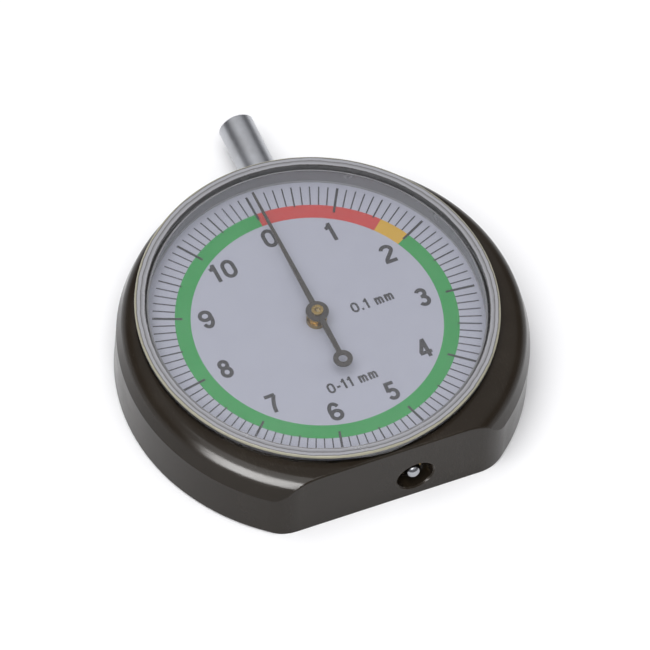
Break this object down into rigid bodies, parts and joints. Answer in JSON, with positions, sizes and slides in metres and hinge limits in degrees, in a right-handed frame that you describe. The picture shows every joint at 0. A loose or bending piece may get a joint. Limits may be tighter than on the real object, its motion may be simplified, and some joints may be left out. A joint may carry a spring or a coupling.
{
  "type": "tyre tread depth gauge",
  "caption": "Round dial depth gauge with a flat measuring base, a push-down plunger, a rack-driven pointer and a clear raised lens.",
  "frame": {"origin": "on the back face, under the pointer's axis", "axes": "+Z out of the dial through the lens, +Y along the plunger to its push end, so the flat measuring base faces -Y; +X to the right of the dial"},
  "size_m": [0.0587, 0.0651, 0.0134],
  "materials": {
    "moulded_case": "glossy near-black moulding",
    "moulded_cover": "satin near-black moulding",
    "plated_screw": "bright plated steel",
    "printed_dial": "matt pale dial with printed scale and coloured band",
    "gasket_rubber": "grey sealing ring",
    "clear_lens": "clear moulded window",
    "turned_brass": "turned brass",
    "brass_plate": "rolled brass sheet",
    "nylon": "natural nylon",
    "spring_steel": "drawn spring wire",
    "ground_steel": "fine ground bright steel",
    "hard_steel": "polished hardened steel",
    "pointer_dark": "dark grey-brown lacquer"
  },
  "bodies": {
    "case": {"case_body": "moulded_case", "back_cover": "moulded_cover", "back_cover_screws": "plated_screw", "dial_plate": "printed_dial", "lens_gasket": "gasket_rubber", "lens": "clear_lens", "front_bearing_bush": "turned_brass", "rear_bearing_bush": "turned_brass", "bearing_plate": "brass_plate", "plate_pillars": "brass_plate", "plate_screws": "plated_screw", "buffer_washer": "nylon", "upper_guide_bush": "turned_brass", "lower_guide_bush": "turned_brass", "guide_rail": "brass_plate", "rail_screws": "plated_screw", "return_spring": "spring_steel"},
    "plunger": {"plunger_rod": "ground_steel", "rack_bar": "turned_brass", "rack_pins": "hard_steel", "probe": "hard_steel", "spring_collar": "turned_brass", "retaining_ring": "spring_steel", "guide_pin": "hard_steel"},
    "pointer_arbor": {"pointer": "pointer_dark", "pointer_hub": "turned_brass", "arbor": "hard_steel", "pinion": "turned_brass"}
  },
  "joints": [
    {"name": "plunger_slide", "type": "slide", "parent": "case", "child": "plunger", "axis": [0, -1, 0], "range_m": [0, 0.011], "stiffness_N_per_m": 120, "springref_m": -0.01, "deforming": ["return_spring"]},
    {"name": "pointer_spin", "type": "hinge", "parent": "case", "child": "pointer_arbor", "pos_m": [0, 0, 0.0044], "axis": [0, 0, 1], "range_deg": [-362, 0]}
  ],
  "couplings": [
    {"joint": "pointer_spin", "follows": "plunger_slide", "rad_per_m": -571.43}
  ]
}
